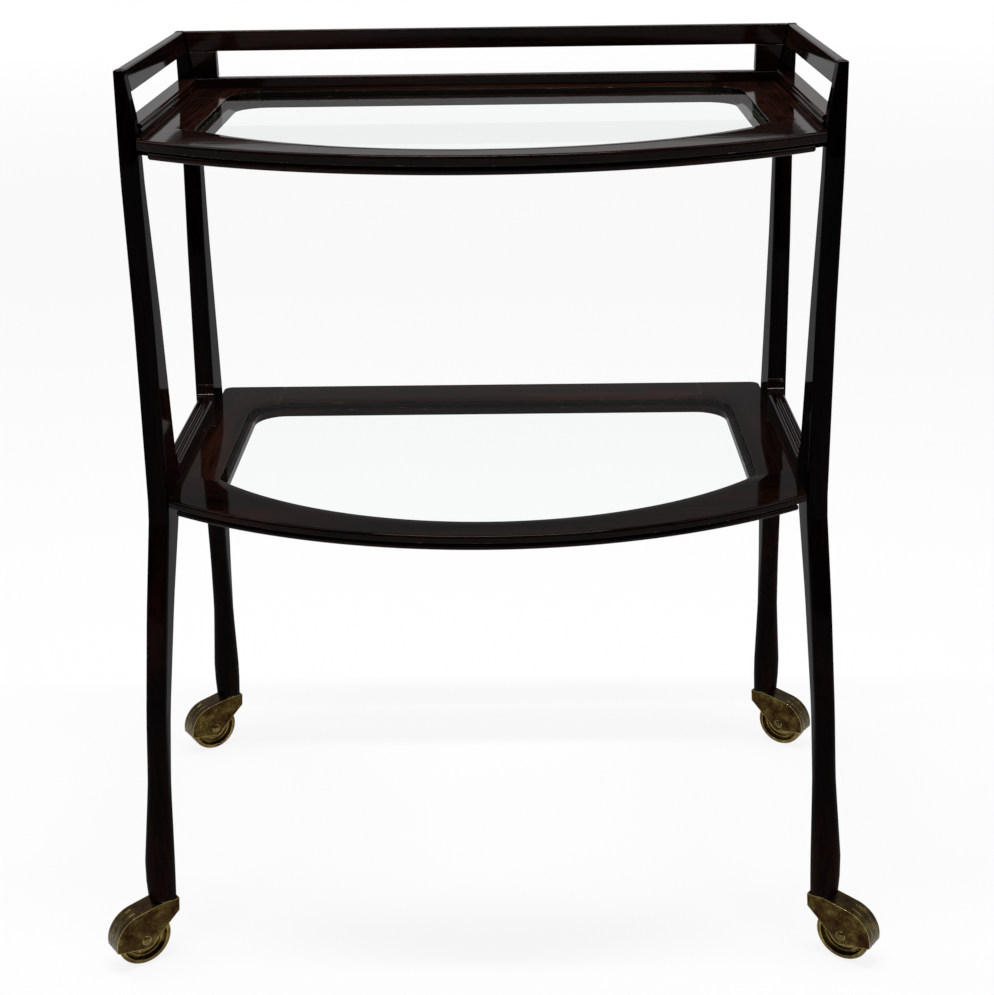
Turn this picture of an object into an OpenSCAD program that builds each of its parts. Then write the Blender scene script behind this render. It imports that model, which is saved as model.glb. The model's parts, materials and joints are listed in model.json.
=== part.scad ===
// Serving cart: two bow-fronted glazed trays on four swept legs with hooded brass casters.
// X runs left to right, Y runs front to back, Z is up, and the wheels stand on z = 0.

/* [Cart] */
// Height from the floor to the top of the legs
cart_h = 771; // [750:1:850]
// Half the width over the legs, beside the trays
cart_half_w = 287; // [270:1:330]
// Height of the legs' tops above the upper tray's surface
gallery_h = 52; // [46:1:66]
// Height of the upper tray's surface above the lower tray's
tray_rise = 302.5; // [270:0.5:330]

/* [Legs] */
// Thickness of a leg at its top end
leg_top_t = 8; // [6:0.5:12]
// Thickness of a leg beside the upper tray
leg_tray_t = 15.8; // [13:0.1:20]
// Thickness of a leg beside the lower tray
leg_elbow_t = 18; // [15:0.5:22]
// Half the depth over the legs at their top end
leg_top_y = 143; // [139:1:150]
// Depth of a leg at its top end
leg_top_d = 13; // [10:0.5:16]
// Half the depth over the legs below the upper tray
leg_collar_y = 151; // [146:1:160]
// Half the depth over the legs at the waist
leg_waist_y = 147; // [140:1:155]
// Height of the waist above the lower tray's surface
leg_waist_rise = 154.5; // [110:0.5:200]
// Depth of a leg at the waist
leg_waist_d = 33.6; // [28:0.2:40]
// Half the depth over the legs at the elbow
leg_elbow_y = 154; // [148:1:165]
// Depth of a leg at the elbow
leg_elbow_d = 55; // [45:0.5:62]
// Drop from the elbow to the calf
leg_calf_drop = 84; // [60:1:100]
// Half the depth over the legs at the calf
leg_calf_y = 174; // [165:1:185]
// Depth of a leg at the calf
leg_calf_d = 39; // [34:0.5:46]
// Outward kick of the calf beyond the trays
leg_calf_kick = 5; // [2:0.5:10]
// Height of the shin above the ankle
leg_shin_rise = 61.7; // [45:0.1:75]
// Half the depth over the legs at the shin
leg_shin_y = 193; // [186:1:200]
// Depth of a leg at the shin
leg_shin_d = 30; // [26:0.5:36]
// Outward kick of the shin beyond the trays
leg_shin_kick = 10; // [6:0.5:14]
// Height of the ankle above the foot's end
ankle_rise = 106; // [90:1:120]
// Diameter of the ankle
ankle_d = 20.5; // [18:0.5:24]
// Inward lean of the ankle from the stem, across the cart
ankle_in_x = 3.5; // [0:0.5:8]
// Inward lean of the ankle from the stem, along the cart
ankle_in_y = 12; // [6:1:20]
// Diameter of the club foot at its widest
club_d = 27; // [24:0.5:30]
// Height of the club's widest place above the foot's end
club_rise = 28; // [20:1:40]
// Diameter of the foot's end
foot_d = 24.5; // [23:0.5:29]
// Radius of the rounded arrises
leg_arris = 3; // [1.5:0.1:4]
// Height over which each bend of a leg is eased
leg_ease = 16; // [8:1:24]

/* [Trays] */
// Reach of the bow front from the middle of the legs
bow_y = 242; // [230:1:260]
// Radius of the bow front in plan
bow_r = 456; // [430:1:520]
// Thickness of the upper tray's frame
upper_t = 15; // [13:0.5:18]
// Height of the moulding under the upper tray's front edge
upper_bead_h = 6; // [4:0.2:7]
// Thickness of the lower tray's frame
lower_t = 12.5; // [11:0.5:16]
// Height of the moulding under the lower tray's front edge
lower_bead_h = 5; // [3.6:0.2:6]
// Depth of the rebate that holds the front moulding
bead_rebate = 14; // [10:0.5:18]
// Rounding of the tray's upper front edge
nose_r = 2.6; // [1:0.1:3]
// Height of the shadow groove between the two tiers
groove_h = 1.1; // [0.6:0.1:1.6]
// Depth of the shadow groove
groove_d = 3; // [2:0.1:4]
// Distance from the front moulding's ends to the legs
bead_end_in = 9; // [8:1:36]
// How far the lower tray reaches behind the legs' elbows
lower_back_out = 16; // [0:1:20]
// Radius of the lower tray's back corners
back_corner_r = 8; // [3:0.5:12]

/* [Tray openings] */
// Width of the upper tray's frame beside the opening
side_frame_w = 37; // [31:1:50]
// Width of the frame in front of the opening, in the middle of the bow
front_frame_w = 35; // [30:1:47]
// Width of the frame between the opening and the gallery
back_frame_w = 17; // [15:1:29]
// Radius of the opening's bowed front edge
open_r = 310; // [300:1:340]
// Radius of the opening's front corners
open_front_r = 14; // [12:1:24]
// Radius of the opening's back corners
open_back_r = 35; // [24:1:50]
// Width of the ledge that carries the glass
ledge_w = 6; // [4:0.5:8]
// Thickness of the glass
glass_t = 5; // [4:0.5:5.5]
// Depth of the glass below the lip round the opening
glass_drop = 0.2; // [0.1:0.05:0.5]
// Width of the sloping lip round the opening
lip_w = 14; // [8:0.5:15]
// Fall of the lip towards the opening
lip_drop = 1; // [0.4:0.1:1.2]
// Clearance round the glass
glass_gap = 0.4; // [0.2:0.1:0.6]

/* [Frame joints] */
// Distance from the opening's side to the back rail's joint
back_joint_in = 26; // [22:1:38]
// Reach of the front rail's joint at the leg side
side_joint_y = 87; // [76:1:95]
// Reach of the front rail's joint at the opening
front_joint_y = 110; // [104:1:115]
// Fine gap that shows at the joints
joint_gap = 0.2; // [0.1:0.05:0.3]

/* [Gallery] */
// Height of the gallery's top rails
gallery_rail_h = 18; // [14:0.5:20]
// Rounding of the gallery's top arrises
gallery_round = 1.5; // [0.6:0.1:2.5]
// Height of the sill above the upper tray
sill_rise = 9.5; // [9.4:0.1:13]
// Reach of the back gallery's inner face
gallery_back_y = 134; // [132:0.5:135]
// Width of the stile between a back leg and the slot
stile_w = 21; // [14:0.5:36]

/* [Stretchers] */
// Thickness of a lower side stretcher
stretcher_t = 15; // [12:0.5:16]
// Height of a stretcher above the lower tray's surface
stretcher_rise = 12; // [10:0.5:18]
// Number of reeds along the top of a stretcher
top_reeds = 3; // [2:1:4]
// Radius of the cove from a stretcher up to the leg
cove_r = 12; // [6:1:16]
// Radius of a sill's reed
reed_r = 2.2; // [1.6:0.1:2.2]
// How far a reed stands out of its sill
reed_out = 1.2; // [0.6:0.1:1.5]
// Distance of the lower reed's middle above the tray's surface
reed_z = 2.7; // [2.5:0.1:2.9]

/* [Dowels] */
// Diameter of the dowels
dowel_d = 6; // [5:0.5:6.5]
// Length of a dowel in each of the two pieces that it joins
dowel_half = 10; // [8:0.5:10]
// Clearance round a dowel
dowel_gap = 0.05; // [0.02:0.01:0.1]
// Height of the stretchers' dowels above the tray's surface
stretcher_dowel_z = 4; // [3.5:0.1:4.5]

/* [Casters] */
// Reach of a caster's stem beyond the outer face of the elbow, across the cart
stem_out_x = 7; // [1:1:13]
// Reach of a caster's stem from the middle, front to back
stem_y = 199; // [194:1:208]
// Radius of the wheel
wheel_r = 25; // [22:0.5:27]
// Width of the wheel's tread
wheel_w = 14; // [11:0.5:15]
// Width of the wheel's rim, from its tread inwards
rim_w = 5; // [3.5:0.5:7]
// Rounding of the tread's edges
rim_round = 2; // [0.5:0.1:3]
// Thickness of the wheel's web
web_t = 5.6; // [4:0.2:7]
// Slope of the hub and the rim down to the web
web_slope = 1; // [0.5:0.1:2]
// Radius of the bead round the web
ring_r = 1.8; // [0.8:0.1:2]
// Wall of the hub round the axle
hub_wall = 4; // [2:0.5:5]
// Distance of the axle from the stem
trail = 22.5; // [20:0.5:28]
// Clearance between the wheel and the hood
wheel_gap = 1.2; // [1:0.1:2.5]
// Thickness of the hood's metal
hood_t = 1.8; // [1.5:0.1:2.2]
// Width of the hood
hood_w = 21; // [20:0.5:24]
// Height of the hood's top plate above its crown
hood_rise = 3.5; // [3:0.5:6]
// Length of the level top plate beyond the stem's riveted head
hood_level = 0.5; // [0.3:0.1:2]
// Reach of the hood's tip behind the stem
hood_tip = 11.5; // [11:0.5:15]
// Height of the hood's tip
tip_h = 12; // [8:0.5:14]
// Radius of the cheek below the axle
cheek_r = 8.5; // [7:0.5:13]
// Angle of the hood's far lip below the axle
lip_angle = 7; // [0:1:26]
// Width of each groove along the hood's crown
hood_groove_w = 1.2; // [0.8:0.1:2]
// Distance between the two grooves' middles
hood_groove_apart = 8; // [4:0.5:14]
// Depth of each groove along the hood's crown
hood_groove_d = 0.6; // [0.3:0.1:0.8]
// Radius of the axle
axle_r = 2.5; // [2:0.1:3.5]
// Radius of the axle's heads
axle_head_r = 4.6; // [4.2:0.1:6]
// Height of the axle's heads
axle_head_h = 1.7; // [1:0.1:2.5]
// Radius of the stem
stem_r = 4; // [3:0.1:5]
// Length of the stem inside the foot
stem_h = 34; // [25:1:40]
// Radius of the stem's riveted head
stem_head_r = 6.5; // [6:0.1:8]
// Height of the stem's riveted head
stem_head_h = 1.5; // [1:0.1:2]
// Wall of the socket
socket_wall = 1.6; // [1:0.1:2]
// Radius of the socket's plate
plate_r = 10.5; // [9:0.5:11.5]
// Thickness of the socket's plate
plate_t = 1.5; // [1:0.1:2]
// Gap between the socket's plate and the hood
swivel_gap = 0.3; // [0.3:0.05:0.5]
// Running clearance of the stem and the axle
run_gap = 0.05; // [0.02:0.01:0.1]
// Angle of the casters from straight out, towards the front
caster_turn = 35; // [20:1:45]

/* [Hidden] */
$fn = 64;
mahogany = [0.16, 0.06, 0.04];
brass = [0.55, 0.46, 0.26];
clear_glass = [0.85, 0.93, 0.92, 0.35];
overrun = 60;
lip_cut = 4;
bow_half_angle = 45;
bow_facets = 200;
wheel_facets = 96;
bow_steps = 48;
corner_steps = 8;
upper_corner_r = 0.5;
ring_steps = 4;
crown_steps = 20;
groove_overrun = 10;
groove_end = 75;
cheek_end = 200;
leg_levels = 40;

// Heights of the caster, stacked up from the floor
hood_r = wheel_r + wheel_gap + hood_t;
hood_top_z = wheel_r + hood_r + hood_rise;
plate_z = hood_top_z + swivel_gap;
foot_z = plate_z + plate_t;
stem_top_z = foot_z + stem_h;
socket_bore_r = stem_r + run_gap;
socket_r = socket_bore_r + socket_wall;
socket_top_z = stem_top_z + socket_wall * 2;

// The box round the cart is centred on the origin, so the legs' middle plane lies behind it
hood_side_y = hood_w / 2 * cos(caster_turn);
front_reach = max(bow_y, stem_y + (trail + hood_r) * sin(caster_turn) + hood_side_y);
back_reach = stem_y + hood_tip * sin(caster_turn) + hood_side_y;
legs_mid_y = (front_reach - back_reach) / 2;

// Heights of the trays and of the legs' bends
upper_z = cart_h - gallery_h;
lower_z = upper_z - tray_rise;
elbow_z = lower_z - lower_t;
calf_z = elbow_z - leg_calf_drop;
waist_z = lower_z + leg_waist_rise;
wedge_ease = 5;
wedge_z = upper_z + wedge_ease + 1;
sill_z = upper_z - upper_t;
collar_z = sill_z - leg_ease;
ankle_z = foot_z + ankle_rise;
club_z = foot_z + club_rise;
shin_z = ankle_z + leg_shin_rise;
stem_x = cart_half_w + stem_out_x;

// Leg stations from foot to top: height, outer face and thickness across the cart
leg_across = [
    [foot_z, stem_x + foot_d / 2, foot_d],
    [club_z, stem_x + club_d / 2, club_d],
    [ankle_z, stem_x - ankle_in_x + ankle_d / 2, ankle_d],
    [shin_z, cart_half_w + leg_shin_kick, leg_elbow_t],
    [calf_z, cart_half_w + leg_calf_kick, leg_elbow_t],
    [elbow_z, cart_half_w, leg_elbow_t],
    [collar_z, cart_half_w, leg_tray_t],
    [wedge_z, cart_half_w, leg_tray_t],
    [cart_h, cart_half_w, leg_top_t]
];

// Leg stations from foot to top: height, outer face and depth along the cart, arris radius
leg_along = [
    [foot_z, stem_y + foot_d / 2, foot_d, foot_d / 2],
    [club_z, stem_y + club_d / 2, club_d, club_d / 2],
    [ankle_z, stem_y - ankle_in_y + ankle_d / 2, ankle_d, ankle_d / 2],
    [shin_z, leg_shin_y, leg_shin_d, leg_arris * 2],
    [calf_z, leg_calf_y, leg_calf_d, leg_arris],
    [elbow_z, leg_elbow_y, leg_elbow_d, leg_arris],
    [waist_z, leg_waist_y, leg_waist_d, leg_arris],
    [collar_z, leg_collar_y, leg_collar_y - leg_top_y + leg_top_d, leg_arris],
    [cart_h, leg_top_y, leg_top_d, leg_arris / 2]
];

function sum(values, i = 0) = i < len(values) ? values[i] + sum(values, i + 1) : 0;

// Value of one column of a station table, with its bends eased over the given height
function eased(z, stations, column, ease) =
    let (
        steps = 4,
        pairs = [for (s = stations) [s[0], s[column]]],
        reach = max(0, min(ease, z - foot_z, cart_h - z)),
        values = [for (k = [-steps : steps]) lookup(z + reach * k / steps, pairs)]
    )
    sum(values) / len(values);

function leg_out_x(z) = eased(z, leg_across, 1, wedge_ease);
function leg_t(z) = eased(z, leg_across, 2, wedge_ease);
function leg_in_x(z) = leg_out_x(z) - leg_t(z);
function leg_out_y(z) = eased(z, leg_along, 1, leg_ease);
function leg_d(z) = eased(z, leg_along, 2, leg_ease);
function leg_in_y(z) = leg_out_y(z) - leg_d(z);
function leg_round(z) = min(eased(z, leg_along, 3, leg_ease), leg_t(z) / 2 - 0.2, leg_d(z) / 2 - 0.2);

// Narrowest reach between the legs over a range of heights, less the joint's gap
function between_x(low, high) = min([for (k = [0 : 4]) leg_in_x(low + (high - low) * k / 4)]) - joint_gap;
function between_y(low, high) = min([for (k = [0 : 4]) leg_in_y(low + (high - low) * k / 4)]) - joint_gap;

// Points on an arc, from one angle to another
function arc(middle, r, from, to, steps) =
    [for (i = [0 : steps]) let (a = from + (to - from) * i / steps) middle + r * [cos(a), sin(a)]];

// Half widths of the trays, and the reach of their backs
upper_half_w = between_x(upper_z - upper_t, upper_z);
lower_half_w = between_x(lower_z - lower_t, lower_z);
upper_back_y = gallery_back_y - joint_gap;
lower_back_y = leg_elbow_y + lower_back_out;
bead_half_w = upper_half_w - bead_end_in;

// The opening, and the middles of the bow front and of its own bowed edge
open_half_w = upper_half_w - side_frame_w;
open_front_y = bow_y - front_frame_w;
open_back_y = gallery_back_y - back_frame_w;
back_joint_x = open_half_w - back_joint_in;
front_joint_x = open_half_w - ledge_w;
glass_seat = lip_drop + glass_drop + glass_t;
bow_mid_y = bow_r - bow_y;
open_mid_y = open_r - open_front_y;

// Middles of the opening's rounded corners, and the angle at which its bow meets the front ones
front_corner_x = open_half_w - open_front_r;
front_corner_y = open_mid_y - sqrt(pow(open_r - open_front_r, 2) - pow(front_corner_x, 2));
bow_end = atan2(front_corner_y - open_mid_y, front_corner_x);
back_corner_x = open_half_w - open_back_r;
back_corner_y = open_back_y - open_back_r;

// The gallery: its sills, its slots and its top rails
sill_top_z = upper_z + sill_rise;
gallery_rail_z = cart_h - gallery_rail_h;
slot_half_w = leg_in_x(upper_z) - stile_w;
sill_in_x = leg_in_x(upper_z);
sill_t = cart_half_w - sill_in_x;
sill_half_y = between_y(sill_z, sill_top_z);
stretcher_in_x = leg_in_x(lower_z);
stretcher_z = lower_z - lower_t;
stretcher_top_z = lower_z + stretcher_rise;
stretcher_half_y = between_y(stretcher_z, stretcher_top_z);

// Places of the dowels between the legs and the trays
upper_dowel_z = upper_z - upper_t / 2;
lower_dowel_z = lower_z - lower_t / 2;
upper_dowel_y = leg_out_y(upper_dowel_z) - leg_d(upper_dowel_z) / 2;
lower_dowel_y = leg_out_y(lower_dowel_z) - leg_d(lower_dowel_z) / 2;

// One section of the back right leg: a rectangle with rounded corners
function leg_ring(z) =
    let (
        r = leg_round(z),
        x0 = leg_in_x(z) + r,
        x1 = leg_out_x(z) - r,
        y0 = leg_in_y(z) + r,
        y1 = leg_out_y(z) - r,
        corners = [[x1, y0, -90], [x1, y1, 0], [x0, y1, 90], [x0, y0, 180]]
    )
    [for (c = corners) for (p = arc([c[0], c[1]], r, c[2], c[2] + 90, ring_steps)) [p[0], p[1], z]];

// Blade of the back right leg, lofted through its sections
module leg_blade() {
    levels = [for (i = [0 : leg_levels]) foot_z + (cart_h - foot_z) * i / leg_levels];
    rings = [for (z = levels) leg_ring(z)];
    n = len(rings[0]);
    sides = [
        for (i = [0 : leg_levels - 1]) for (j = [0 : n - 1])
            let (k = (j + 1) % n)
            [i * n + j, (i + 1) * n + j, (i + 1) * n + k, i * n + k]
    ];
    foot_face = [for (j = [0 : n - 1]) j];
    top_face = [for (j = [n - 1 : -1 : 0]) leg_levels * n + j];
    polyhedron(
        points = [for (ring = rings) for (p = ring) p],
        faces = concat(sides, [foot_face, top_face]),
        convexity = 4
    );
}

// Moves what is drawn about the legs' middle plane to its place in the cart
module placed() {
    translate([0, legs_mid_y, 0]) children();
}

// Mirrors what is drawn for the back right corner to the corner on the given side and end
module at_corner(side, end) {
    mirror([side < 0 ? 1 : 0, 0, 0]) mirror([0, end < 0 ? 1 : 0, 0]) children();
}

// A dowel centred on a point, turned from the X axis
module dowel(x, y, z, turn, grow) {
    translate([x, y, z]) rotate([0, 0, turn]) rotate([0, 90, 0])
        cylinder(d = dowel_d + grow * 2, h = (dowel_half + grow * 2) * 2, center = true);
}

// Dowels of one corner, between the leg and the two trays
module corner_leg_dowels(grow) {
    dowel(leg_in_x(upper_dowel_z), upper_dowel_y, upper_dowel_z, 0, grow);
    dowel(leg_in_x(lower_dowel_z), lower_dowel_y, lower_dowel_z, 0, grow);
}

// Dowels of one corner, between the leg and the side sill and stretcher
module corner_stretcher_dowels(grow) {
    dowel(sill_in_x + sill_t / 2, sill_half_y, upper_z + stretcher_dowel_z, 90, grow);
    dowel(stretcher_in_x + stretcher_t / 2, stretcher_half_y, lower_z + stretcher_dowel_z, 90, grow);
}

module each_corner() {
    for (side = [-1, 1]) for (end = [-1, 1]) at_corner(side, end) children();
}

module leg(side, end) {
    color(mahogany) placed() at_corner(side, end) difference() {
        leg_blade();
        translate([stem_x, stem_y, foot_z - 1])
            cylinder(r = socket_r + dowel_gap, h = socket_top_z + dowel_gap - foot_z + 1);
        corner_leg_dowels(dowel_gap);
        corner_stretcher_dowels(dowel_gap);
    }
}

// Plan of the tray's opening, drawn in by the inset
module opening_plan(inset) {
    front_r = open_front_r - inset;
    back_r = open_back_r - inset;
    bow = arc([0, open_mid_y], open_r - inset, -180 - bow_end, bow_end, bow_steps);
    polygon(concat(
        [for (i = [1 : bow_steps - 1]) bow[i]],
        arc([front_corner_x, front_corner_y], front_r, bow_end, 0, corner_steps),
        arc([back_corner_x, back_corner_y], back_r, 0, 90, corner_steps),
        arc([-back_corner_x, back_corner_y], back_r, 90, 180, corner_steps),
        arc([-front_corner_x, front_corner_y], front_r, 180, 180 - bow_end, corner_steps)
    ));
}

// Section of the space over the lip, drawn outwards from the inner line, for an opening's edge there
module lip_section(inner, edge) {
    over = lip_cut * lip_drop / lip_w;
    polygon([
        [inner, -lip_drop - over],
        [edge - lip_cut, -lip_drop - over],
        [edge + lip_w + lip_cut, over],
        [inner, over]
    ]);
}

// The space over the lip: straight at the sides and back, turned round the back corners and the bow,
// and mitred where the bow meets the sides
module opening_lip(z) {
    translate([0, 0, z]) intersection() {
        translate([0, open_mid_y, 0]) rotate_extrude($fn = bow_facets) lip_section(0, open_r);
        union() {
            for (side = [-1, 1]) at_corner(side, 1) {
                translate([0, back_corner_y, 0]) rotate([90, 0, 0])
                    linear_extrude(bow_y + back_corner_y) lip_section(-lip_cut, open_half_w);
                translate([back_corner_x, back_corner_y, 0])
                    rotate_extrude(angle = 90) lip_section(0, open_back_r);
            }
            translate([-back_corner_x, 0, 0]) rotate([90, 0, 90])
                linear_extrude(back_corner_x * 2) lip_section(back_corner_y, open_back_y);
        }
    }
}

// The opening through a tray, the rebate over the ledge for the glass, and the lip
module tray_opening(z) {
    translate([0, 0, z - overrun]) linear_extrude(overrun * 2) opening_plan(ledge_w);
    translate([0, 0, z - glass_seat]) linear_extrude(overrun) opening_plan(0);
    opening_lip(z);
}

// The frame's dowels of one tray: two in the back joints and two in the front joints
module tray_dowels(z, t, half_w, back_y, grow) {
    turn = atan2(half_w - front_joint_x, side_joint_y - front_joint_y);
    for (side = [-1, 1]) at_corner(side, 1) {
        dowel(back_joint_x, (open_back_y + back_y) / 2, z - t / 2, 0, grow);
        dowel((half_w + front_joint_x) / 2, -(side_joint_y + front_joint_y) / 2, z - t / 2, turn, grow);
    }
}

// Section of the front rail: a rounded nose over the shadow groove and the moulding's rebate
module bow_section(t, bead_h) {
    inner_r = norm([back_joint_x, bow_mid_y + side_joint_y]);
    under_z = bead_h - t;
    polygon(concat(
        [
            [inner_r, -t],
            [bow_r - bead_rebate, -t],
            [bow_r - bead_rebate, under_z],
            [bow_r - groove_d, under_z],
            [bow_r - groove_d, under_z + groove_h],
            [bow_r, under_z + groove_h]
        ],
        arc([bow_r - nose_r, -nose_r], nose_r, 0, 90, corner_steps),
        [[inner_r, 0]]
    ));
}

// Section of the moulding under the bow front, with a full round nose
module bead_section(t, bead_h) {
    polygon(concat(
        [[bow_r - bead_rebate + joint_gap, -t]],
        arc([bow_r - bead_h / 2, bead_h / 2 - t], bead_h / 2, -90, 90, corner_steps * 2),
        [[bow_r - bead_rebate + joint_gap, bead_h - t]]
    ));
}

// Sweeps a section along the bow front, half_angle to each side of the middle
module bow_sweep(z, half_angle) {
    translate([0, bow_mid_y, z]) rotate([0, 0, -90 - half_angle])
        rotate_extrude(angle = half_angle * 2, $fn = bow_facets) children();
}

module tray_front_rail(z, t, bead_h, half_w, back_y) {
    gap = joint_gap / 2;
    color(mahogany) placed() difference() {
        intersection() {
            bow_sweep(z, bow_half_angle) bow_section(t, bead_h);
            translate([0, 0, z - overrun]) linear_extrude(overrun * 2) polygon([
                [-half_w, -side_joint_y - gap],
                [-front_joint_x, -front_joint_y - gap],
                [front_joint_x, -front_joint_y - gap],
                [half_w, -side_joint_y - gap],
                [half_w, -bow_y - overrun],
                [-half_w, -bow_y - overrun]
            ]);
        }
        tray_opening(z);
        tray_dowels(z, t, half_w, back_y, dowel_gap);
        each_corner() corner_leg_dowels(dowel_gap);
    }
}

module tray_side_rail(side, z, t, half_w, back_y, corner_r) {
    gap = joint_gap / 2;
    color(mahogany) placed() difference() {
        at_corner(side, 1) translate([0, 0, z - t]) linear_extrude(t) polygon(concat(
            [[front_joint_x, -front_joint_y + gap], [half_w, -side_joint_y + gap]],
            arc([half_w - corner_r, back_y - corner_r], corner_r, 0, 90, corner_steps),
            [[back_joint_x + gap, back_y], [back_joint_x + gap, -front_joint_y + gap]]
        ));
        tray_opening(z);
        tray_dowels(z, t, half_w, back_y, dowel_gap);
        each_corner() corner_leg_dowels(dowel_gap);
    }
}

module tray_back_rail(z, t, half_w, back_y) {
    length = (back_joint_x - joint_gap / 2) * 2;
    color(mahogany) placed() difference() {
        translate([-length / 2, 0, z - t]) cube([length, back_y, t]);
        tray_opening(z);
        tray_dowels(z, t, half_w, back_y, dowel_gap);
    }
}

module tray_edge_moulding(z, t, bead_h) {
    color(mahogany) placed() bow_sweep(z, asin(bead_half_w / bow_r)) bead_section(t, bead_h);
}

module tray_glass(z) {
    color(clear_glass) placed() translate([0, 0, z - glass_seat]) linear_extrude(glass_t)
        opening_plan(glass_gap);
}

// Tapered board section between two heights, with its top arrises rounded
module board_section(low_in, low_out, high_in, high_out, low_z, high_z) {
    polygon(concat(
        [[low_in, low_z], [low_out, low_z]],
        arc([high_out - gallery_round, high_z - gallery_round], gallery_round, 0, 90, corner_steps),
        arc([high_in + gallery_round, high_z - gallery_round], gallery_round, 90, 180, corner_steps)
    ));
}

// Runs a section, drawn in x and z, along the cart's depth
module along_y(half_length) {
    rotate([90, 0, 0]) linear_extrude(half_length * 2, center = true) children();
}

// Runs a section, drawn in y and z, across the cart
module along_x(half_length) {
    rotate([90, 0, 90]) linear_extrude(half_length * 2, center = true) children();
}

// The space between the wedge-shaped tops of the left and right legs
module between_legs(low_z, high_z) {
    low_x = leg_in_x(low_z) - joint_gap;
    high_x = leg_in_x(high_z) - joint_gap;
    along_y(overrun * 4) polygon([[-low_x, low_z], [low_x, low_z], [high_x, high_z], [-high_x, high_z]]);
}

module gallery_side_rail(side) {
    color(mahogany) placed() at_corner(side, 1) along_y(between_y(gallery_rail_z, cart_h)) board_section(
        leg_in_x(gallery_rail_z), cart_half_w, leg_in_x(cart_h), cart_half_w, gallery_rail_z, cart_h
    );
}

// Section of the back gallery between two heights
module gallery_back_section(low_z, high_z) {
    board_section(
        gallery_back_y, leg_out_y(low_z), gallery_back_y, leg_out_y(high_z), low_z, high_z
    );
}

module gallery_back_rail() {
    color(mahogany) placed() intersection() {
        along_x(cart_half_w) gallery_back_section(gallery_rail_z, cart_h);
        between_legs(gallery_rail_z, cart_h);
    }
}

module gallery_back_sill() {
    color(mahogany) placed() difference() {
        along_x(between_x(sill_z, sill_top_z)) gallery_back_section(sill_z, sill_top_z);
        each_corner() corner_leg_dowels(dowel_gap);
    }
}

module gallery_stile(side) {
    low_z = sill_top_z + joint_gap;
    high_z = gallery_rail_z - joint_gap;
    color(mahogany) placed() at_corner(side, 1) intersection() {
        translate([slot_half_w + overrun, 0, 0]) along_x(overrun) polygon([
            [gallery_back_y, low_z],
            [leg_out_y(low_z), low_z],
            [leg_out_y(high_z), high_z],
            [gallery_back_y, high_z]
        ]);
        between_legs(low_z, high_z);
    }
}

// A side sill with two reeds on its inner face, just above the tray
module side_sill(side) {
    color(mahogany) placed() difference() {
        at_corner(side, 1) along_y(sill_half_y) union() {
            board_section(sill_in_x, cart_half_w, sill_in_x, cart_half_w, sill_z, sill_top_z);
            for (k = [0, 1]) translate([sill_in_x + reed_r - reed_out, upper_z + reed_z + k * reed_r * 2])
                circle(reed_r);
        }
        each_corner() corner_stretcher_dowels(dowel_gap);
    }
}

// Section of a stretcher, with reeds side by side along its top
module stretcher_section() {
    top_r = stretcher_t / top_reeds / 2;
    translate([stretcher_in_x, stretcher_z]) square([stretcher_t, stretcher_top_z - top_r - stretcher_z]);
    for (k = [0 : top_reeds - 1])
        translate([stretcher_in_x + top_r * (2 * k + 1), stretcher_top_z - top_r]) circle(top_r);
}

// Cove from the top of a stretcher up the face of the back leg, drawn in y and z
module cove_section() {
    low_z = stretcher_top_z - stretcher_t / top_reeds / 2;
    high_z = stretcher_top_z + cove_r;
    end_y = leg_in_y(high_z) - joint_gap;
    polygon(concat(
        [[end_y - cove_r, low_z], [leg_in_y(low_z) - joint_gap, low_z]],
        arc([end_y - cove_r, high_z], cove_r, 0, -90, corner_steps)
    ));
}

module side_stretcher(side) {
    color(mahogany) placed() difference() {
        union() {
            at_corner(side, 1) along_y(stretcher_half_y) stretcher_section();
            for (end = [-1, 1]) at_corner(side, end)
                translate([stretcher_in_x + stretcher_t / 2, 0, 0]) along_x(stretcher_t / 2) cove_section();
        }
        each_corner() corner_stretcher_dowels(dowel_gap);
    }
}

module frame_dowels() {
    color(mahogany) placed() {
        tray_dowels(upper_z, upper_t, upper_half_w, upper_back_y, 0);
        tray_dowels(lower_z, lower_t, lower_half_w, lower_back_y, 0);
    }
}

module leg_dowels() {
    color(mahogany) placed() each_corner() corner_leg_dowels(0);
}

module stretcher_dowels() {
    color(mahogany) placed() each_corner() corner_stretcher_dowels(0);
}

// Places a caster, drawn with its stem on the Z axis and its wheel trailing along +X
module at_caster(side, end) {
    placed() translate([side * stem_x, end * stem_y, 0])
        mirror([side < 0 ? 1 : 0, 0, 0]) rotate([0, 0, -caster_turn]) children();
}

// Turns what is drawn about the Z axis to the wheel's axle
module at_axle() {
    translate([trail, 0, wheel_r]) rotate([90, 0, 0]) children();
}

module socket(side, end) {
    color(brass) at_caster(side, end) rotate_extrude() polygon([
        [socket_bore_r, plate_z],
        [plate_r, plate_z],
        [plate_r, foot_z],
        [socket_r, foot_z],
        [socket_r, socket_top_z],
        [0, socket_top_z],
        [0, socket_top_z - socket_wall],
        [socket_bore_r, socket_top_z - socket_wall]
    ]);
}

module stem(side, end) {
    under_z = hood_top_z - hood_t;
    color(brass) at_caster(side, end) rotate_extrude() polygon([
        [0, under_z - stem_head_h],
        [stem_head_r - stem_head_h / 2, under_z - stem_head_h],
        [stem_head_r, under_z - stem_head_h / 2],
        [stem_head_r, under_z],
        [stem_r, under_z],
        [stem_r, stem_top_z - stem_r / 4],
        [stem_r * 3 / 4, stem_top_z],
        [0, stem_top_z]
    ]);
}

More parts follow.
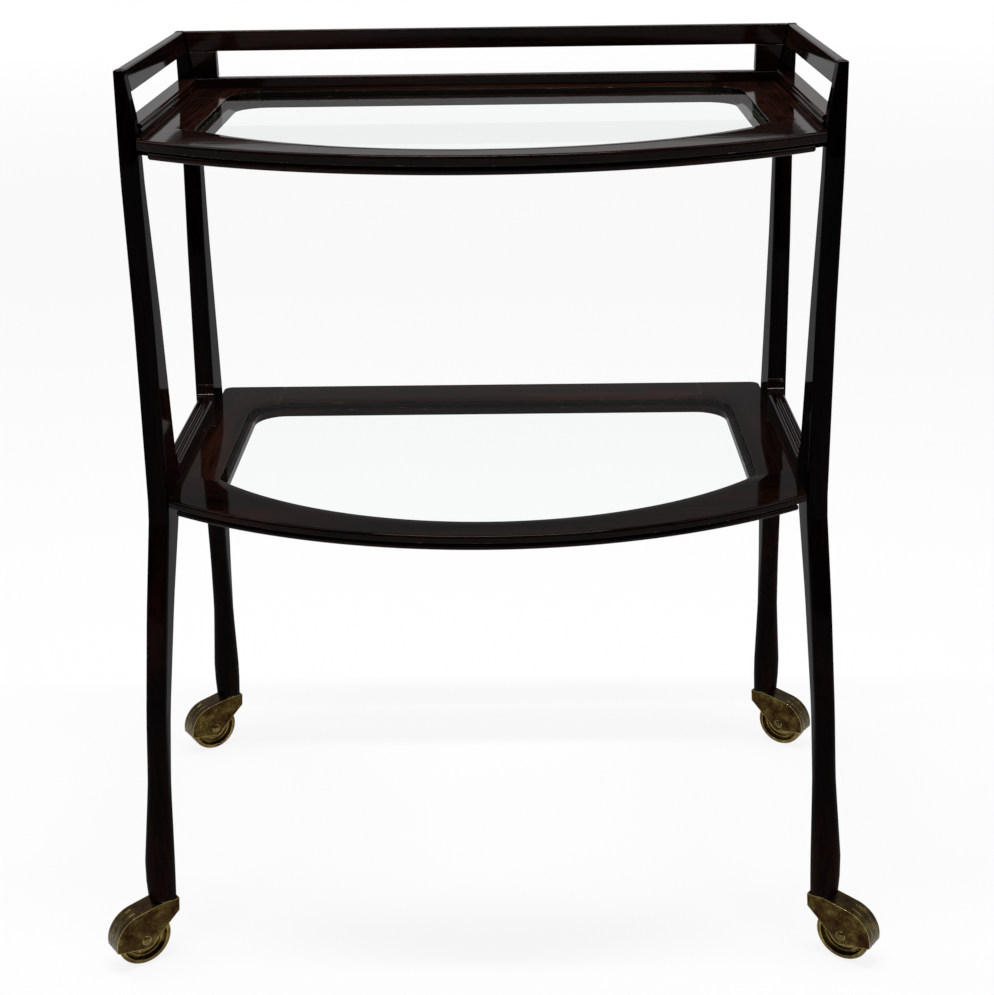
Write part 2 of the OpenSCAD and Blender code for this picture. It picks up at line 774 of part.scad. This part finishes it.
// Line of the hood from its tip over the crown to the far lip, drawn in by the inset
function hood_line(inset) =
    let (
        middle = [trail, wheel_r],
        r = hood_r - inset,
        level_end = [stem_head_r + hood_level, hood_top_z - inset],
        away = level_end - middle,
        touch = atan2(away[1], away[0]) - acos(r / norm(away))
    )
    concat(
        [[inset - hood_tip, hood_top_z - inset], level_end],
        arc(middle, r, touch, -lip_angle, crown_steps)
    );

// Side of the hood: a drop shape whose lower edge runs under the axle and up to the tip
module cheek_outline() {
    polygon(concat(
        hood_line(0),
        arc([trail, wheel_r], cheek_r, 270, cheek_end, corner_steps),
        [[hood_t / 2 - hood_tip, hood_top_z - tip_h]]
    ));
}

// Room inside the hood, open downwards
module hood_room() {
    line = hood_line(hood_t);
    polygon(concat(line, [[line[len(line) - 1][0], -overrun], [hood_t - hood_tip, -overrun]]));
}

// Grooves along the crown, from below the far lip to near the level plate
module hood_grooves() {
    for (k = [-1, 1]) at_axle() rotate([0, 0, -lip_angle - groove_overrun])
        rotate_extrude(angle = lip_angle + groove_overrun + groove_end)
            translate([hood_r - hood_groove_d, (k * hood_groove_apart - hood_groove_w) / 2])
                square([overrun, hood_groove_w]);
}

module hood(side, end) {
    color(brass) at_caster(side, end) difference() {
        along_y(hood_w / 2) cheek_outline();
        along_y(hood_w / 2 - hood_t) hood_room();
        cylinder(r = socket_bore_r, h = hood_top_z + overrun);
        at_axle() cylinder(r = axle_r + run_gap, h = hood_w + overrun, center = true);
        hood_grooves();
    }
}

// Half of the axle's outline: the shank and one domed head
function axle_side(sign) =
    let (
        dome_r = (pow(axle_head_r, 2) + pow(axle_head_h, 2)) / (2 * axle_head_h),
        dome_z = hood_w / 2 + axle_head_h - dome_r,
        dome = arc([0, dome_z], dome_r, asin((dome_r - axle_head_h) / dome_r), 90, corner_steps)
    )
    [for (p = concat([[axle_r, hood_w / 2]], dome)) [max(0, p[0]), sign * p[1]]];

module axle(side, end) {
    upper = axle_side(1);
    lower = axle_side(-1);
    color(brass) at_caster(side, end) at_axle() rotate_extrude()
        polygon(concat(upper, [for (i = [len(lower) - 1 : -1 : 0]) lower[i]]));
}

// One face of the wheel from its bore to its tread: hub, dished web, raised ring and rim
function wheel_side(sign) =
    let (
        hub_z = hood_w / 2 - hood_t - swivel_gap,
        hub_r = axle_r + hub_wall,
        web_z = web_t / 2,
        rim_z = wheel_w / 2,
        rim_in_r = wheel_r - rim_w,
        ring_mid = [rim_in_r - ring_r * 3 / 2, web_z],
        points = concat(
            [[axle_r + run_gap, hub_z], [hub_r, hub_z], [hub_r + web_slope, web_z]],
            arc(ring_mid, ring_r, 180, 0, corner_steps),
            [[rim_in_r, web_z + web_slope], [rim_in_r + web_slope, rim_z]],
            arc([wheel_r - rim_round, rim_z - rim_round], rim_round, 90, 0, corner_steps)
        )
    )
    [for (p = points) [p[0], sign * p[1]]];

module wheel(side, end) {
    upper = wheel_side(1);
    lower = wheel_side(-1);
    color(brass) at_caster(side, end) at_axle() rotate_extrude($fn = wheel_facets)
        polygon(concat(upper, [for (i = [len(lower) - 1 : -1 : 0]) lower[i]]));
}

module upper_front_rail() tray_front_rail(upper_z, upper_t, upper_bead_h, upper_half_w, upper_back_y);
module lower_front_rail() tray_front_rail(lower_z, lower_t, lower_bead_h, lower_half_w, lower_back_y);
module upper_back_rail() tray_back_rail(upper_z, upper_t, upper_half_w, upper_back_y);
module lower_back_rail() tray_back_rail(lower_z, lower_t, lower_half_w, lower_back_y);
module upper_side_rail(side) {
    tray_side_rail(side, upper_z, upper_t, upper_half_w, upper_back_y, upper_corner_r);
}

module lower_side_rail(side) {
    tray_side_rail(side, lower_z, lower_t, lower_half_w, lower_back_y, back_corner_r);
}

module upper_edge_moulding() tray_edge_moulding(upper_z, upper_t, upper_bead_h);
module lower_edge_moulding() tray_edge_moulding(lower_z, lower_t, lower_bead_h);

leg(-1, -1);  // leg_front_left
leg(1, -1);  // leg_front_right
leg(-1, 1);  // leg_back_left
leg(1, 1);  // leg_back_right
upper_front_rail();
upper_back_rail();
upper_side_rail(-1);  // upper_left_rail
upper_side_rail(1);  // upper_right_rail
upper_edge_moulding();
tray_glass(upper_z);  // upper_glass
lower_front_rail();
lower_back_rail();
lower_side_rail(-1);  // lower_left_rail
lower_side_rail(1);  // lower_right_rail
lower_edge_moulding();
tray_glass(lower_z);  // lower_glass
gallery_side_rail(-1);  // gallery_left_rail
gallery_side_rail(1);  // gallery_right_rail
gallery_back_rail();
gallery_stile(-1);  // gallery_left_stile
gallery_stile(1);  // gallery_right_stile
gallery_back_sill();
side_sill(-1);  // upper_left_sill
side_sill(1);  // upper_right_sill
side_stretcher(-1);  // lower_left_stretcher
side_stretcher(1);  // lower_right_stretcher
frame_dowels();
leg_dowels();
stretcher_dowels();
socket(-1, -1);  // socket_front_left
stem(-1, -1);  // stem_front_left
hood(-1, -1);  // hood_front_left
axle(-1, -1);  // axle_front_left
wheel(-1, -1);  // wheel_front_left
socket(1, -1);  // socket_front_right
stem(1, -1);  // stem_front_right
hood(1, -1);  // hood_front_right
axle(1, -1);  // axle_front_right
wheel(1, -1);  // wheel_front_right
socket(-1, 1);  // socket_back_left
stem(-1, 1);  // stem_back_left
hood(-1, 1);  // hood_back_left
axle(-1, 1);  // axle_back_left
wheel(-1, 1);  // wheel_back_left
socket(1, 1);  // socket_back_right
stem(1, 1);  // stem_back_right
hood(1, 1);  // hood_back_right
axle(1, 1);  // axle_back_right
wheel(1, 1);  // wheel_back_right
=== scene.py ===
import json
import math

import bmesh
import bpy
from mathutils import Matrix, Vector

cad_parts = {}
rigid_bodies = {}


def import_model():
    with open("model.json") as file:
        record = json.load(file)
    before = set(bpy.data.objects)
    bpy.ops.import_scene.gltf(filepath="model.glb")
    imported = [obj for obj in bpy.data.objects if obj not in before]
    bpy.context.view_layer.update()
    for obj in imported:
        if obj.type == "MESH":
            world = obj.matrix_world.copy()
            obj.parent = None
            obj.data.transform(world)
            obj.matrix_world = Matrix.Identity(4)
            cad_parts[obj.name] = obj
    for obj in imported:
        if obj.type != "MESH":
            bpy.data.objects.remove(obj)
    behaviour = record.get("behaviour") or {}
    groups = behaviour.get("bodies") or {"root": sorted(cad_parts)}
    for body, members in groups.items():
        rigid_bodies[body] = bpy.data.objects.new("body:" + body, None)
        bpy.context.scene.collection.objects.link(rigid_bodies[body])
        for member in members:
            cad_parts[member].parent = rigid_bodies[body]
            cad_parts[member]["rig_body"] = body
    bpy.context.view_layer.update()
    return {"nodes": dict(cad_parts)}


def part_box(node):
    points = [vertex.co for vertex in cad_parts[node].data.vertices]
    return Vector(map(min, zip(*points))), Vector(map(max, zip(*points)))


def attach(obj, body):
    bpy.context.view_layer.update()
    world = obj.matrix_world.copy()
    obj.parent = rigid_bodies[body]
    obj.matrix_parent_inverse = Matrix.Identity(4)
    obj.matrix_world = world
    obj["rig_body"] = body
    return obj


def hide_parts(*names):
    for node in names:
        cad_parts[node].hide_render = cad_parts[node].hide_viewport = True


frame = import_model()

MM = 0.001
NODES = frame["nodes"]

# Middle of the legs from front to back, where the camera was fitted from
LEGS_MID_Y = (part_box("leg_front_left")[0].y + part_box("leg_back_left")[1].y) / 2


# Building materials

def empty_tree(owner):
    """The cleared node tree of a material or a world."""
    owner.use_nodes = True
    owner.node_tree.nodes.clear()
    return owner.node_tree


def new_material(name):
    """A material whose surface is one principled shader."""
    material = bpy.data.materials.new(name)
    tree = empty_tree(material)
    output = tree.nodes.new("ShaderNodeOutputMaterial")
    shader = tree.nodes.new("ShaderNodeBsdfPrincipled")
    tree.links.new(shader.outputs["BSDF"], output.inputs["Surface"])
    return material, tree, shader


def add(tree, kind, **values):
    """A node of that kind. Names that its inputs have are set there, and the others on the node."""
    node = tree.nodes.new(kind)
    for name, value in values.items():
        socket = node.inputs.get(name.replace("_", " "))
        if socket is not None:
            socket.default_value = value
        else:
            setattr(node, name, value)
    return node


def link(tree, source, output, target, socket):
    tree.links.new(source.outputs[output], target.inputs[socket])


def feed(tree, value, socket):
    """Feeds an input with another node's output or with a plain value."""
    if isinstance(value, bpy.types.NodeSocket):
        tree.links.new(value, socket)
    else:
        socket.default_value = value


def grey(value):
    return (value, value, value)


def ramp(tree, value, places, colours):
    """A colour ramp of a value, with one colour at each place."""
    node = tree.nodes.new("ShaderNodeValToRGB")
    elements = node.color_ramp.elements
    while len(elements) > 1:
        elements.remove(elements[-1])
    elements[0].position = places[0]
    elements[0].color = (*colours[0], 1)
    for place, colour in list(zip(places, colours))[1:]:
        elements.new(place).color = (*colour, 1)
    tree.links.new(value, node.inputs["Fac"])
    return node.outputs["Color"]


def remap(tree, value, source, target):
    """A value taken from the source range to the target range, and held inside it."""
    node = add(tree, "ShaderNodeMapRange", clamp=True)
    node.inputs["From Min"].default_value = source[0]
    node.inputs["From Max"].default_value = source[1]
    node.inputs["To Min"].default_value = target[0]
    node.inputs["To Max"].default_value = target[1]
    tree.links.new(value, node.inputs["Value"])
    return node.outputs["Result"]


def maths(tree, operation, first, second=0.0):
    """The operation over two values, each a node's output or a plain number."""
    node = add(tree, "ShaderNodeMath", operation=operation)
    feed(tree, first, node.inputs[0])
    feed(tree, second, node.inputs[1])
    return node.outputs["Value"]


def mix_colours(tree, factor, first, second, mode="MIX"):
    """Mixes two colours, each a node's output or a plain colour."""
    node = add(tree, "ShaderNodeMix", data_type="RGBA", blend_type=mode)
    feed(tree, factor, node.inputs[0])
    feed(tree, first, node.inputs[6])
    feed(tree, second, node.inputs[7])
    return node.outputs[2]


def mix_shaders(tree, factor, first, second):
    """Mixes two shaders into a new material output."""
    mixed = add(tree, "ShaderNodeMixShader")
    tree.links.new(factor, mixed.inputs["Fac"])
    tree.links.new(first, mixed.inputs[1])
    tree.links.new(second, mixed.inputs[2])
    output = add(tree, "ShaderNodeOutputMaterial")
    link(tree, mixed, "Shader", output, "Surface")


# How far an offset moves a pattern along each axis, uneven so that no two cuts line up
PATTERN_MOVE = (1.0, 0.7, 1.3)


def noise(tree, along, offset, scale, stretch, detail=4.0, roughness=0.55, shift=0.0):
    """Noise in the object's own metres, drawn out along one axis. scale is features per metre."""
    place = add(tree, "ShaderNodeTexCoord")
    mapping = add(tree, "ShaderNodeMapping")
    factors = [scale, scale, scale]
    factors["XYZ".index(along)] = scale / stretch
    mapping.inputs["Scale"].default_value = factors
    mapping.inputs["Location"].default_value = [(offset + shift) * move for move in PATTERN_MOVE]
    link(tree, place, "Object", mapping, "Vector")
    pattern = add(tree, "ShaderNodeTexNoise", Scale=1.0, Detail=detail, Roughness=roughness)
    link(tree, mapping, "Vector", pattern, "Vector")
    return pattern.outputs["Fac"]


def bump(tree, height, strength, distance, shader, socket):
    """Turns a height into small relief on one of the shader's normals."""
    relief = add(tree, "ShaderNodeBump", Strength=strength, Distance=distance)
    tree.links.new(height, relief.inputs["Height"])
    link(tree, relief, "Normal", shader, socket)


# Agreement of the bevelled normal with the true one where an arris begins, and where it is full
ARRIS_START = 0.995
ARRIS_FULL = 0.9
ARRIS_SAMPLES = 4


def edge_mask(tree, width):
    """White on arrises: where the bevelled normal turns away from the true one."""
    bevel = add(tree, "ShaderNodeBevel", samples=ARRIS_SAMPLES, Radius=width)
    geometry = add(tree, "ShaderNodeNewGeometry")
    agreement = add(tree, "ShaderNodeVectorMath", operation="DOT_PRODUCT")
    link(tree, bevel, "Normal", agreement, 0)
    link(tree, geometry, "Normal", agreement, 1)
    return remap(tree, agreement.outputs["Value"], (ARRIS_START, ARRIS_FULL), (0.0, 1.0))


# Lacquered wood: its colours from dark streaks to red lights, and how much of the lacquer's mirror
# is left on its flat faces, both on the legs and on the boards and rails
WOOD_TONES_WITH_SHADED_LEGS = {
    # The legs' colours are the boards' wood darkened as painted shade, for the shade that the legs stand in.
    "leg": ((0.0012, 0.0006, 0.0005), (0.0032, 0.0013, 0.0010), (0.013, 0.0036, 0.0024)),
    "board": ((0.0030, 0.0014, 0.0010), (0.0085, 0.0033, 0.0023), (0.018, 0.0055, 0.0034)),
}
WOOD_GLOSS = {"leg": 0.12, "board": 0.38}
WOOD_WORN = (0.30, 0.20, 0.14)
TONE_PLACES = (0.32, 0.50, 0.70)
PORE_PLACES = (0.36, 0.52)
PORE_SHADES = (grey(0.35), grey(1.0))
SCUFF_PLACES = (0.60, 0.64)
WOOD_ROUGHNESS = (0.24, 0.40)
WOOD_ARRIS = 0.9 * MM
LACQUER_IOR = 1.25
LACQUER_ROUGHNESS = 0.06
# Relief of the pores in the wood and of the ripples in the lacquer
PORE_RELIEF = {"strength": 0.12, "distance": 0.15 * MM}
RIPPLE_RELIEF = {"strength": 0.12, "distance": 0.4 * MM}
# Patterns of the wood, with features per metre across the grain
FIGURE = {"scale": 34.0, "stretch": 12.0}
STREAKS = {"scale": 420.0, "stretch": 26.0, "detail": 3.0, "shift": 3.0}
SCUFFS = {"scale": 160.0, "stretch": 3.0, "detail": 5.0, "roughness": 0.7, "shift": 9.0}
RIPPLE = {"scale": 60.0, "stretch": 2.0, "detail": 2.0, "shift": 5.0}


def wood_material(kind, along, offset):
    """Dark gloss lacquered mahogany with its grain along one axis; the legs' kind has darker colours as
    painted shade.
    """
    material, tree, shader = new_material(f"mahogany_{kind}_{along.lower()}_{int(offset)}")
    figure = noise(tree, along, offset, **FIGURE)
    streaks = noise(tree, along, offset, **STREAKS)
    scuffs = noise(tree, along, offset, **SCUFFS)
    ripple = noise(tree, along, offset, **RIPPLE)
    arrises = edge_mask(tree, WOOD_ARRIS)

    # On the legs this colour is darkened as painted shade.
    tone = ramp(tree, figure, TONE_PLACES, WOOD_TONES_WITH_SHADED_LEGS[kind])
    pores = ramp(tree, streaks, PORE_PLACES, PORE_SHADES)
    grain = mix_colours(tree, 1.0, tone, pores, "MULTIPLY")
    patches = ramp(tree, scuffs, SCUFF_PLACES, (grey(0.0), grey(1.0)))
    worn = maths(tree, "MULTIPLY", arrises, patches)
    colour = mix_colours(tree, worn, grain, (*WOOD_WORN, 1))
    tree.links.new(colour, shader.inputs["Base Color"])
    tree.links.new(remap(tree, figure, (0.0, 1.0), WOOD_ROUGHNESS), shader.inputs["Roughness"])
    bump(tree, streaks, **PORE_RELIEF, shader=shader, socket="Normal")

    # All the gloss is the lacquer's, and it is whole on the arrises
    shader.inputs["Specular IOR Level"].default_value = 0.0
    gloss = remap(tree, arrises, (0.0, 1.0), (WOOD_GLOSS[kind], 1.0))
    tree.links.new(gloss, shader.inputs["Coat Weight"])
    shader.inputs["Coat IOR"].default_value = LACQUER_IOR
    shader.inputs["Coat Roughness"].default_value = LACQUER_ROUGHNESS
    bump(tree, ripple, **RIPPLE_RELIEF, shader=shader, socket="Coat Normal")
    return material


# Pale wood of the dowels
DOWEL_GRAIN = {"scale": 500.0, "stretch": 14.0}
DOWEL_PLACES = (0.3, 0.7)
DOWEL_TONES = ((0.30, 0.19, 0.10), (0.48, 0.33, 0.19))
DOWEL_ROUGHNESS = 0.6


def dowel_material():
    """Pale dowel wood with fine straight grain."""
    material, tree, shader = new_material("beech_dowel")
    grain = noise(tree, "X", 0.0, **DOWEL_GRAIN)
    tone = ramp(tree, grain, DOWEL_PLACES, DOWEL_TONES)
    tree.links.new(tone, shader.inputs["Base Color"])
    shader.inputs["Roughness"].default_value = DOWEL_ROUGHNESS
    return material


# Brass from its deepest tarnish to its cleanest patches: on the hoods, and on the wheels, which are rubbed
HOOD_TONES = ((0.030, 0.011, 0.004), (0.064, 0.040, 0.011), (0.14, 0.108, 0.030))
WHEEL_TONES = ((0.050, 0.030, 0.010), (0.17, 0.120, 0.036), (0.34, 0.26, 0.085))
BRASS_CLEAN = (0.60, 0.48, 0.18)
TARNISH_PLACES = (0.36, 0.52, 0.68)
SPECK_PLACES = (0.4, 0.6)
SPECK_SHADES = (grey(0.55), grey(1.0))
# Roughness of tarnished brass, and of clean brass
BRASS_ROUGHNESS = (0.42, 0.18)
BRASS_ARRIS = 0.8 * MM
BRASS_RELIEF = {"strength": 0.25, "distance": 0.2 * MM}
BLOTCHES = {"scale": 90.0, "stretch": 1.0, "detail": 6.0, "roughness": 0.65}
SPECKS = {"scale": 900.0, "stretch": 1.0, "detail": 3.0}


def brass_material(name, tones):
    """Aged brass: red brown and olive tarnish in patches, cleaner on its arrises."""
    material, tree, shader = new_material(name)
    blotches = noise(tree, "X", 0.0, **BLOTCHES)
    specks = noise(tree, "X", 0.0, **SPECKS)
    tarnish = ramp(tree, blotches, TARNISH_PLACES, tones)
    speckled = ramp(tree, specks, SPECK_PLACES, SPECK_SHADES)
    aged = mix_colours(tree, 1.0, tarnish, speckled, "MULTIPLY")
    colour = mix_colours(tree, edge_mask(tree, BRASS_ARRIS), aged, (*BRASS_CLEAN, 1))
    tree.links.new(colour, shader.inputs["Base Color"])
    shader.inputs["Metallic"].default_value = 1.0
    tree.links.new(remap(tree, blotches, (0.0, 1.0), BRASS_ROUGHNESS), shader.inputs["Roughness"])
    bump(tree, specks, **BRASS_RELIEF, shader=shader, socket="Normal")
    return material


# Glass: what its faces and its edges let through, and how strongly it mirrors
GLASS_FACE = (0.985, 0.996, 0.991)
GLASS_EDGE = (0.60, 0.76, 0.68)
# How far a face has to look up or down to count as an edge of the pane, and as its face
GLASS_TURN = (0.3, 0.7)
GLASS_IOR = 1.4
GLASS_SHINE = 0.2
SMEARS = {"scale": 25.0, "stretch": 2.0, "detail": 5.0}
SMEAR_RANGE = (0.45, 0.80)
GLASS_ROUGHNESS = (0.01, 0.06)


def glass_material():
    """Clear thin glass: lets light straight through, mirrors a little outside, and is green at its edges."""
    material = bpy.data.materials.new("clear_glass")
    tree = empty_tree(material)
    place = add(tree, "ShaderNodeTexCoord")
    split = add(tree, "ShaderNodeSeparateXYZ")
    link(tree, place, "Normal", split, "Vector")
    level = maths(tree, "ABSOLUTE", split.outputs["Z"])
    clear = add(tree, "ShaderNodeBsdfTransparent")
    tint = ramp(tree, level, GLASS_TURN, (GLASS_EDGE, GLASS_FACE))
    tree.links.new(tint, clear.inputs["Color"])

    mirror = add(tree, "ShaderNodeBsdfAnisotropic")
    smears = noise(tree, "X", 0.0, **SMEARS)
    tree.links.new(remap(tree, smears, SMEAR_RANGE, GLASS_ROUGHNESS), mirror.inputs["Roughness"])

    fresnel = add(tree, "ShaderNodeFresnel", IOR=GLASS_IOR)
    geometry = add(tree, "ShaderNodeNewGeometry")
    outer = maths(tree, "SUBTRACT", 1.0, geometry.outputs["Backfacing"])
    shine = maths(tree, "MULTIPLY", fresnel.outputs["Fac"], outer)
    share = maths(tree, "MULTIPLY", shine, GLASS_SHINE)
    mix_shaders(tree, share, clear.outputs["BSDF"], mirror.outputs["BSDF"])
    return material


# Finish of each CAD node

RUBBED_PARTS = ("wheel", "axle")
AGED_PARTS = ("hood", "stem", "socket")
# Grain of the wooden pieces that don't run across the cart, by the start of their names
GRAIN_ALONG = {
    "leg": "Z",
    "gallery_left_rail": "Y",
    "gallery_right_rail": "Y",
    "upper_left": "Y",
    "upper_right": "Y",
    "lower_left": "Y",
    "lower_right": "Y",
}
# Rails that meet flush in the trays, with finer arrises than the rest of the wood
TRAY_RAILS = [
    f"{tier}_{side}_rail"
    for tier in ("upper", "lower")
    for side in ("front", "back", "left", "right")
]
# Pieces of the same kind and grain share this many cuts of wood in turn
WOOD_CUTS = 3

# Widths of the rounded arrises, and the steps that round them
BRASS_ROUND = 0.35 * MM
GLASS_ROUND = 0.5 * MM
DOWEL_ROUND = 0.4 * MM
RAIL_ROUND = 0.5 * MM
WOOD_ROUND = 1.0 * MM
ROUND_STEPS = 3

# Edges that turn by more than this are rounded, and faces that turn by less are joined
SHARP_TURN = math.radians(32)
FLAT_TURN = math.radians(0.4)
WELD = 0.1 * MM
FACE_WEIGHT = 100


def grain_axis(name):
    for start, axis in GRAIN_ALONG.items():
        if name.startswith(start):
            return axis
    return "X"


def body_of(name):
    """The body that a CAD node rides on."""
    return NODES[name]["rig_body"]


def cleaned_mesh(name):
    """A copy of a CAD node's mesh, with its flat faces whole and all its faces smooth."""
    mesh = NODES[name].data.copy()
    mesh.name = name + "_finished"
    work = bmesh.new()
    work.from_mesh(mesh)
    bmesh.ops.remove_doubles(work, verts=work.verts, dist=WELD)
    bmesh.ops.dissolve_limit(work, angle_limit=FLAT_TURN, verts=work.verts, edges=work.edges)
    for face in work.faces:
        face.smooth = True
    work.to_mesh(mesh)
    work.free()
    return mesh


def round_arrises(piece, width):
    bevel = piece.modifiers.new("arris", "BEVEL")
    bevel.width = width
    bevel.segments = ROUND_STEPS
    bevel.limit_method = "ANGLE"
    bevel.angle_limit = SHARP_TURN
    bevel.use_clamp_overlap = True


def flatten_faces(piece):
    """Takes each vertex normal from the largest faces, so that flat faces shade flat."""
    flat = piece.modifiers.new("flat_faces", "WEIGHTED_NORMAL")
    flat.mode = "FACE_AREA"
    flat.weight = FACE_WEIGHT


def dressed(name, material, width):
    """A finished copy of a CAD node: the same shape, with rounded arrises and smooth curved faces."""
    mesh = cleaned_mesh(name)
    mesh.materials.clear()
    mesh.materials.append(material)
    piece = bpy.data.objects.new(name + "_finished", mesh)
    bpy.context.scene.collection.objects.link(piece)
    round_arrises(piece, width)
    flatten_faces(piece)
    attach(piece, body_of(name))
    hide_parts(name)
    return piece


def wood_for(name, cut, woods):
    """The wood of a piece, made once for each kind, grain and cut. The legs' kind gets the darker colours,
    which are painted shade.
    """
    kind = "leg" if name.startswith("leg") else "board"
    axis = grain_axis(name)
    if (kind, axis, cut) not in woods:
        woods[kind, axis, cut] = wood_material(kind, axis, float(cut))
    return woods[kind, axis, cut]


def finish_nodes():
    """Dresses every CAD node in its material, with arrises of its own width."""
    woods = {}
    aged = brass_material("aged_brass", HOOD_TONES)
    rubbed = brass_material("rubbed_brass", WHEEL_TONES)
    glass = glass_material()
    dowel = dowel_material()
    for index, name in enumerate(sorted(NODES)):
        if name.startswith(RUBBED_PARTS):
            piece, slot = dressed(name, rubbed, BRASS_ROUND), "brass"
        elif name.startswith(AGED_PARTS):
            piece, slot = dressed(name, aged, BRASS_ROUND), "brass"
        elif name.endswith("glass"):
            piece, slot = dressed(name, glass, GLASS_ROUND), "glass"
        elif name.endswith("dowels"):
            piece, slot = dressed(name, dowel, DOWEL_ROUND), "dowel_wood"
        else:
            width = RAIL_ROUND if name in TRAY_RAILS else WOOD_ROUND
            wood = wood_for(name, index % WOOD_CUTS, woods)
            piece, slot = dressed(name, wood, width), "lacquered_wood"


finish_nodes()


# Stage, lights and camera

# World light on the object: dim from the viewer's side and full from behind, by a ray's y,
# and full near the horizon and lower above it, by a ray's z
VIEWER_TO_BACK = (-0.25, 0.35)
VIEWER_LIGHT = 0.10
LOW_TO_HIGH = (0.18, 0.30)
HIGH_LIGHT = 0.4


def seen_rays(tree, rays):
    """One for rays from the camera, straight or through glass."""
    return maths(tree, "MAXIMUM", rays.outputs["Is Camera Ray"], rays.outputs["Is Transmission Ray"])


def directed_world():
    """White low behind the cart, dimmer above and dim towards the viewer, but plain white where it shows."""
    world = bpy.data.worlds.new("studio")
    bpy.context.scene.world = world
    tree = empty_tree(world)
    place = add(tree, "ShaderNodeTexCoord")
    split = add(tree, "ShaderNodeSeparateXYZ")
    link(tree, place, "Generated", split, "Vector")
    behind = remap(tree, split.outputs["Y"], VIEWER_TO_BACK, (VIEWER_LIGHT, 1.0))
    low = remap(tree, split.outputs["Z"], LOW_TO_HIGH, (1.0, HIGH_LIGHT))
    seen = seen_rays(tree, add(tree, "ShaderNodeLightPath"))
    background = add(tree, "ShaderNodeBackground")
    background.inputs["Color"].default_value = (1, 1, 1, 1)
    light = maths(tree, "MULTIPLY", behind, low)
    tree.links.new(maths(tree, "MAXIMUM", seen, light), background.inputs["Strength"])
    output = add(tree, "ShaderNodeOutputWorld")
    link(tree, background, "Background", output, "Surface")


# Floor: its colour, and how much of it is its own light near the cart and far off
FLOOR_SPAN = 60.0
FLOOR_COLOUR = (*grey(0.86), 1)
FLOOR_DISTANCES = (1.5, 7.0)
FLOOR_OWN_LIGHT = (0.87, 1.0)


def floor_material():
    """Pale floor: part its own light, so that it looks white, and part lit, so that it keeps the shadow."""
    material = bpy.data.materials.new("pale_floor")
    tree = empty_tree(material)
    lit = add(tree, "ShaderNodeBsdfDiffuse")
    lit.inputs["Color"].default_value = FLOOR_COLOUR
    own = add(tree, "ShaderNodeEmission")
    own.inputs["Color"].default_value = (1, 1, 1, 1)
    rays = add(tree, "ShaderNodeLightPath")
    shown = maths(tree, "MAXIMUM", seen_rays(tree, rays), rays.outputs["Is Glossy Ray"])
    place = add(tree, "ShaderNodeTexCoord")
    distance = add(tree, "ShaderNodeVectorMath", operation="LENGTH")
    link(tree, place, "Object", distance, 0)
    own_share = remap(tree, distance.outputs["Value"], FLOOR_DISTANCES, FLOOR_OWN_LIGHT)
    share = maths(tree, "MULTIPLY", shown, own_share)
    mix_shaders(tree, share, lit.outputs["BSDF"], own.outputs["Emission"])
    return material


def make_floor():
    mesh = bpy.data.meshes.new("floor")
    half = FLOOR_SPAN / 2
    corners = [(-half, -half, 0), (half, -half, 0), (half, half, 0), (-half, half, 0)]
    mesh.from_pydata(corners, [], [(0, 1, 2, 3)])
    mesh.materials.append(floor_material())
    floor = bpy.data.objects.new("floor", mesh)
    bpy.context.scene.collection.objects.link(floor)


# Lamps: places and sizes in metres, and powers in watts. All look at the middle of the cart.
LAMP_AIM = (0, 0, 0.4)
LAMPS = {
    "key": {"place": (-1.6, 0.6, 2.8), "size": (1.8, 1.8), "power": 30},
    "fill": {"place": (1.9, 0.2, 2.4), "size": (1.6, 1.6), "power": 20},
    "strip": {"place": (0, -0.3, 2.6), "size": (1.4, 0.1), "power": 42},
}


def soft_lamp(name, place, size, power):
    data = bpy.data.lights.new(name, "AREA")
    data.shape = "RECTANGLE"
    data.size, data.size_y = size
    data.energy = power
    lamp = bpy.data.objects.new(name, data)
    bpy.context.scene.collection.objects.link(lamp)
    lamp.location = place
    look = Vector(LAMP_AIM) - Vector(place)
    lamp.rotation_euler = look.to_track_quat("-Z", "Y").to_euler()


# Camera fitted to the photograph: place in metres, and two of its axes in the cart's frame
CAMERA_PLACE = (0.0277, -1.5722 + LEGS_MID_Y, 0.9507)
CAMERA_RIGHT = (0.99987058, 0.00835543, -0.01374818)
CAMERA_UP = (0.00991906, 0.35264203, 0.93570573)
PHOTO_SIZE = (994, 995)
FOCAL_PIXELS = 1800.1
SENSOR = 36.0
CAMERA_REACH = 200


def make_camera():
    data = bpy.data.cameras.new("photo_camera")
    data.sensor_width = SENSOR
    data.lens = FOCAL_PIXELS / max(PHOTO_SIZE) * SENSOR
    data.clip_end = CAMERA_REACH
    camera = bpy.data.objects.new("photo_camera", data)
    bpy.context.scene.collection.objects.link(camera)
    right = Vector(CAMERA_RIGHT)
    up = Vector(CAMERA_UP)
    back = right.cross(up)
    turn = Matrix((right, up, back)).transposed()
    camera.matrix_world = Matrix.Translation(CAMERA_PLACE) @ turn.to_4x4()
    bpy.context.scene.camera = camera


directed_world()
make_floor()
for lamp_name, setting in LAMPS.items():
    soft_lamp(lamp_name, **setting)
make_camera()
bpy.context.scene.view_settings.view_transform = "Standard"
